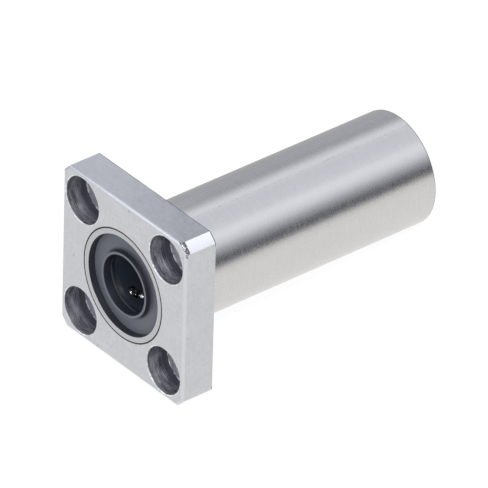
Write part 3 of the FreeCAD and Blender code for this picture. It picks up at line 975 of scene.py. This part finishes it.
# Painted shade: the rubber darkens at the lip's foot and in the bore.
at_foot = all_of(
    tree,
    above(tree, from_axis, LIP_R - LIP_SLACK),
    spread_out(tree, from_axis, 1, 0, (LIP_R + FOOT_SHADE_FROM) * MM, (LIP_R + FOOT_SHADE_TO) * MM),
)
darker = mix_colour(tree, at_foot, outside, FOOT_SHADE)
link(tree, mix_colour(tree, in_bore, darker, BORE_SHADE), shader.inputs["Base Color"])
resin = grained(
    "retainer_resin", (0.033, 0.043, 0.060), (0.042, 0.053, 0.071), (1500.0, 1500.0, 1500.0),
    0.35, 0.15, 0.00001,
)
spring = grained(
    "side_ring_steel", (0.35, 0.35, 0.36), (0.45, 0.45, 0.45), (1500.0, 4000.0, 1500.0),
    0.3, 0.15, 0.00001, 1.0,
)
polished = grained(
    "ball_steel", (0.46, 0.46, 0.47), (0.54, 0.54, 0.54), (900.0, 900.0, 900.0),
    0.015, 0.02, 0.000001, 0.93,
)
print("small parts' materials ready")

# %% [markdown]
# Each piece now gets its finish. The retainers and side rings keep the shape they have in the
# construction model, and only their material changes.


# %% Give each piece its material
def dress(thing, material):
    """Give an object one material, and no other."""
    thing.data.materials.clear()
    thing.data.materials.append(material)


dress(flange, milled)
dress(cylinder, ground)
for seal in seals:
    dress(seal, rubber)
for row in balls:
    dress(row, polished)
finishes = {
    "flange": milled,
    "outer_cylinder": ground,
    "seal": rubber,
    "side_ring": spring,
    "retainer": resin,
    "load_balls": polished,
    "return_balls": polished,
}
for name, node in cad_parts.items():
    for kind, material in finishes.items():
        if name.startswith(kind):
            dress(node, material)
print("finishes given")

# %% [markdown]
# ## Floor and light
#
# The bearing lies on its side: one edge of the flange and the rim of the free end touch the
# table, so the table slopes a little in the bearing's own frame. The table and the background
# show as white to the camera, and the table keeps a faint shadow. In reflections the table is
# white too, except to the left of the tube, where a painted dark patch, a painted reflection,
# keeps the tube's upper edge dark.

# %% Table
TABLE_REACH = 0.3  # metres from the table's middle to its sides
PAPER_GLOW = 0.93  # share of the paper that shows as plain white
WHITE_SHINE, DARK_REFLECTION_SHINE = 1.02, 0.5
DARK_REFLECTION_SIDE = (-0.030, -0.022)  # X in metres over which the painted dark patch in reflections ends
DARK_REFLECTION_START = (-0.002, 0.006)  # Y in metres over which it begins
table_slope = math.atan2(HALF_WIDTH - CYLINDER_R, REAR)
floor_mesh = bpy.data.meshes.new("table")
bm = bmesh.new()
bmesh.ops.create_grid(bm, x_segments=1, y_segments=1, size=TABLE_REACH)
lie = Matrix.Translation((0, 0, -HALF_WIDTH * MM)) @ Matrix.Rotation(table_slope, 4, "X")
bmesh.ops.transform(bm, matrix=lie, verts=bm.verts)
bm.to_mesh(floor_mesh)
bm.free()
table = bpy.data.objects.new("table", floor_mesh)
bpy.context.scene.collection.objects.link(table)

paper = bpy.data.materials.new("white_paper")
paper.use_nodes = True
tree = paper.node_tree
tree.nodes.clear()
seen = add(tree, "ShaderNodeLightPath")
straight = math_node(tree, "MAXIMUM", seen.outputs["Is Camera Ray"], seen.outputs["Is Glossy Ray"])
straight = math_node(tree, "MAXIMUM", straight, seen.outputs["Is Transmission Ray"])
share = math_node(tree, "MULTIPLY", straight, PAPER_GLOW)
lit = add(tree, "ShaderNodeBsdfDiffuse", Color=(0.9, 0.9, 0.9, 1))
where = add(tree, "ShaderNodeTexCoord")
apart = add(tree, "ShaderNodeSeparateXYZ")
link(tree, where.outputs["Object"], apart.inputs[0])
# Painted reflection: glossy rays see the table darker on the far left.
dark_reflection_mask = all_of(
    tree,
    spread_out(tree, apart.outputs["X"], 1, 0, *DARK_REFLECTION_SIDE),
    spread_out(tree, apart.outputs["Y"], 0, 1, *DARK_REFLECTION_START),
    seen.outputs["Is Glossy Ray"],
)
white = add(tree, "ShaderNodeEmission", Color=(1, 1, 1, 1))
link(tree, mix_number(tree, dark_reflection_mask, WHITE_SHINE, DARK_REFLECTION_SHINE), white.inputs["Strength"])
blend = add(tree, "ShaderNodeMixShader")
link(tree, share, blend.inputs["Fac"])
link(tree, lit.outputs[0], blend.inputs[1])
link(tree, white.outputs[0], blend.inputs[2])
end = add(tree, "ShaderNodeOutputMaterial")
link(tree, blend.outputs[0], end.inputs["Surface"])
dress(table, paper)
print("table slopes by", round(math.degrees(table_slope), 2), "degrees")

# %% [markdown]
# The room is a plain gradient, lighter overhead and in front, and a little blue. On the
# far right it has a dark stretch just above the table. The tube mirrors it, and the dark band
# along the tube is what makes it look round.

# %% Room
world = bpy.data.worlds.new("studio")
bpy.context.scene.world = world
world.use_nodes = True
tree = world.node_tree
tree.nodes.clear()
way = add(tree, "ShaderNodeTexCoord")
axes = add(tree, "ShaderNodeSeparateXYZ")
link(tree, way.outputs["Generated"], axes.inputs[0])
height = math_node(tree, "MULTIPLY", math_node(tree, "ADD", axes.outputs["Z"], 1.0), 0.5)


def gradient(shades):
    """Grey gradient over the height of a direction, from -1 straight down to 1 straight up."""
    ramp = add(tree, "ShaderNodeValToRGB")
    steps = ramp.color_ramp.elements
    while len(steps) < len(shades):
        steps.new(1.0)
    for step, (up, shade) in zip(steps, shades):
        step.position = (up + 1) / 2
        # A little less red than grey, and a little more blue.
        step.color = (shade * 0.975, shade * 1.005 + 0.004, shade * 1.085 + 0.02, 1)
    link(tree, height, ramp.inputs["Fac"])
    return ramp.outputs["Color"]


open_side = gradient(
    [(-1, 0.5), (-0.1, 0.45), (0, 0.5), (0.4, 0.56), (0.5, 0.46), (0.56, 0.36), (0.62, 0.50)]
    + [(0.66, 0.80), (0.77, 0.96), (0.85, 0.88)]
)
dark_side = gradient(
    [(-1, 0.95), (-0.1, 0.8), (0, 0.1), (0.03, 0.03), (0.22, 0.03), (0.29, 0.22), (0.36, 0.45)]
    + [(0.45, 0.58), (0.60, 0.84), (0.66, 0.99), (0.72, 1.03), (0.78, 0.99), (0.85, 0.90)]
)
front_side = gradient([(-1, 0.9), (-0.1, 0.95), (0.1, 1.05), (0.7, 1.05), (0.85, 1.0)])
FAR_RIGHT = (0.85, 0.53)  # direction in X and Y
across = math_node(tree, "MULTIPLY", axes.outputs["X"], FAR_RIGHT[0])
beyond = math_node(tree, "MULTIPLY", axes.outputs["Y"], FAR_RIGHT[1])
far_right = spread_out(tree, math_node(tree, "ADD", across, beyond), 0, 1, 0.2, 0.65)
in_front = spread_out(tree, math_node(tree, "MULTIPLY", axes.outputs["Y"], -1.0), 0, 1, 0.0, 0.4)
behind = mix_colour(tree, far_right, open_side, dark_side)
room = add(tree, "ShaderNodeBackground")
link(tree, mix_colour(tree, in_front, behind, front_side), room.inputs["Color"])
backdrop = add(tree, "ShaderNodeBackground", Color=(1, 1, 1, 1), Strength=1.0)
seen = add(tree, "ShaderNodeLightPath")
blend = add(tree, "ShaderNodeMixShader")
link(tree, seen.outputs["Is Camera Ray"], blend.inputs["Fac"])
link(tree, room.outputs[0], blend.inputs[1])
link(tree, backdrop.outputs[0], blend.inputs[2])
end = add(tree, "ShaderNodeOutputWorld")
link(tree, blend.outputs[0], end.inputs["Surface"])
print("room ready")


# %% [markdown]
# Six lamps add what a gradient can't: bright, small highlights. Two large ones behind draw the
# bands along the tube. The small ones in front and at the side light the edges, the counterbores
# and the balls. A tiny one close to the flange brightens the left end of its top.


# %% Lamps
def softbox(
    name, toward, distance, width, height, power, along=(0, 0, 1), aim=(0, 20, 0), beam=180
):
    """Soft lamp that stands in a direction from a point and faces it.

    The point is in millimetres, the distance and the lamp's width and height in metres, the power
    in watts and the beam in degrees. The lamp's height runs along a direction.
    """
    lamp = bpy.data.lights.new(name, "AREA")
    lamp.shape = "RECTANGLE"
    lamp.size = width
    lamp.size_y = height
    lamp.energy = power
    lamp.spread = math.radians(beam)
    holder = bpy.data.objects.new(name, lamp)
    direction = Vector(toward).normalized()
    holder.location = Vector(aim) * MM + direction * distance
    side = Vector(along).cross(direction).normalized()
    axes = Matrix((side, direction.cross(side), direction)).transposed()
    holder.rotation_euler = axes.to_euler()
    bpy.context.scene.collection.objects.link(holder)
    print(name, "at", [round(v, 2) for v in holder.location])


lamps = (
    # Name, direction, distance, width, height and power.
    ("back_right_lamp", (0.54, 0.53, 0.65), 1.8, 0.26, 0.8, 0.26, {"along": (-0.77, 0, 0.64)}),
    ("overhead_lamp", (-0.36, 0.53, 0.77), 1.8, 0.3, 0.5, 0.14, {}),
    (
        "left_lamp", (-0.634, 0.534, 0.559), 0.05, 0.02, 0.02, 0.000065,
        {"aim": (-11, -3, 15), "beam": 70},
    ),
    ("front_left_lamp", (-0.6, -0.6, 0.55), 0.9, 0.15, 0.15, 0.22, {}),
    ("front_lamp", (0.42, -0.6, 0.68), 1.0, 0.06, 0.06, 0.6, {}),
    ("side_lamp", (0.62, -0.3, 0.72), 0.8, 0.05, 0.05, 2.6, {}),
)
for name, toward, distance, width, height, power, more in lamps:
    softbox(name, toward, distance, width, height, power, **more)

# %% [markdown]
# ## Camera
#
# The camera stands where the photographer stood: far away with a long lens, so that parallel
# edges stay almost parallel. The angles and distance come from fitting the bearing's known sizes
# to the picture.

# %% Camera
AZIMUTH = math.radians(49.896)
ELEVATION = math.radians(33.967)
ROLL = math.radians(1.685)
DISTANCE = 1.6
SENSOR_WIDTH = 36.0
FOCAL_LENGTH = 762.97

# The point that the camera looks at, in millimetres: along the shaft, then across the picture.
AIM_ALONG = 14
AIM_RIGHT = 3.136
AIM_DOWN = 0.343

level_right = Vector((math.cos(AZIMUTH), math.sin(AZIMUTH), 0))
back = Vector(
    (
        math.sin(AZIMUTH) * math.cos(ELEVATION),
        -math.cos(AZIMUTH) * math.cos(ELEVATION),
        math.sin(ELEVATION),
    )
)
level_up = back.cross(level_right)
right = math.cos(ROLL) * level_right + math.sin(ROLL) * level_up
up = -math.sin(ROLL) * level_right + math.cos(ROLL) * level_up
aim = Vector((0, AIM_ALONG, 0)) * MM + AIM_RIGHT * MM * right - AIM_DOWN * MM * up
lens = bpy.data.cameras.new("camera")
lens.sensor_width = SENSOR_WIDTH
lens.lens = FOCAL_LENGTH
camera = bpy.data.objects.new("camera", lens)
camera.matrix_world = Matrix.Translation(aim + back * DISTANCE) @ Matrix(
    (
        (right.x, up.x, back.x, 0),
        (right.y, up.y, back.y, 0),
        (right.z, up.z, back.z, 0),
        (0, 0, 0, 1),
    )
)
bpy.context.scene.collection.objects.link(camera)
bpy.context.scene.camera = camera
bpy.context.scene.view_settings.view_transform = "Standard"
print("camera at", [round(v, 3) for v in camera.location])

# %% [markdown]
# ## Last steps
#

# %% Last step
print("all pieces made")
